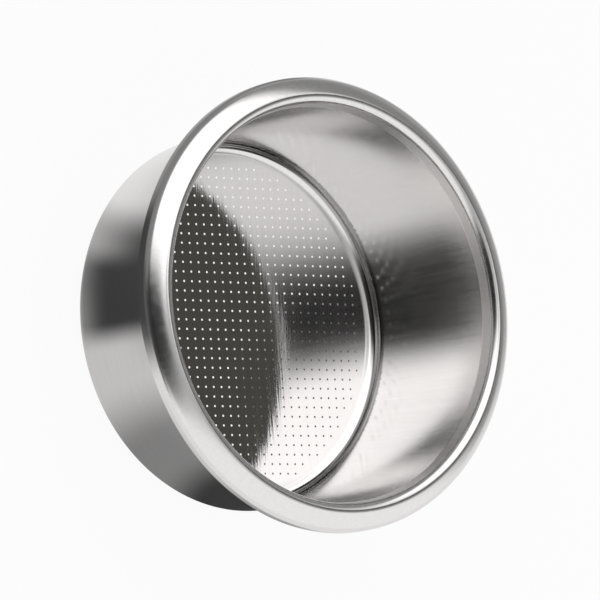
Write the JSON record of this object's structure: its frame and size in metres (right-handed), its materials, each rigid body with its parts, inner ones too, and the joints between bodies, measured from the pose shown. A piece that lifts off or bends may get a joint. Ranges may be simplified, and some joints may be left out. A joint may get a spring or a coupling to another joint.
{
  "type": "espresso filter basket",
  "caption": "Drawn steel filter basket: a shallow tapered cup with a rolled rim, a bevelled lead-in and a finely perforated flat floor.",
  "frame": {"origin": "middle of the underside of the perforated floor, where the basket's axis meets the surface that it stands on", "axes": "+Z along the basket's axis, from the floor up to the mouth; X and Y run along the rows of holes"},
  "size_m": [0.07, 0.07, 0.0283],
  "materials": {
    "steel": "satin outside and on the wall, polished on the rim and the floor"
  },
  "bodies": {
    "root": {"filter_basket": "steel"}
  },
  "joints": []
}
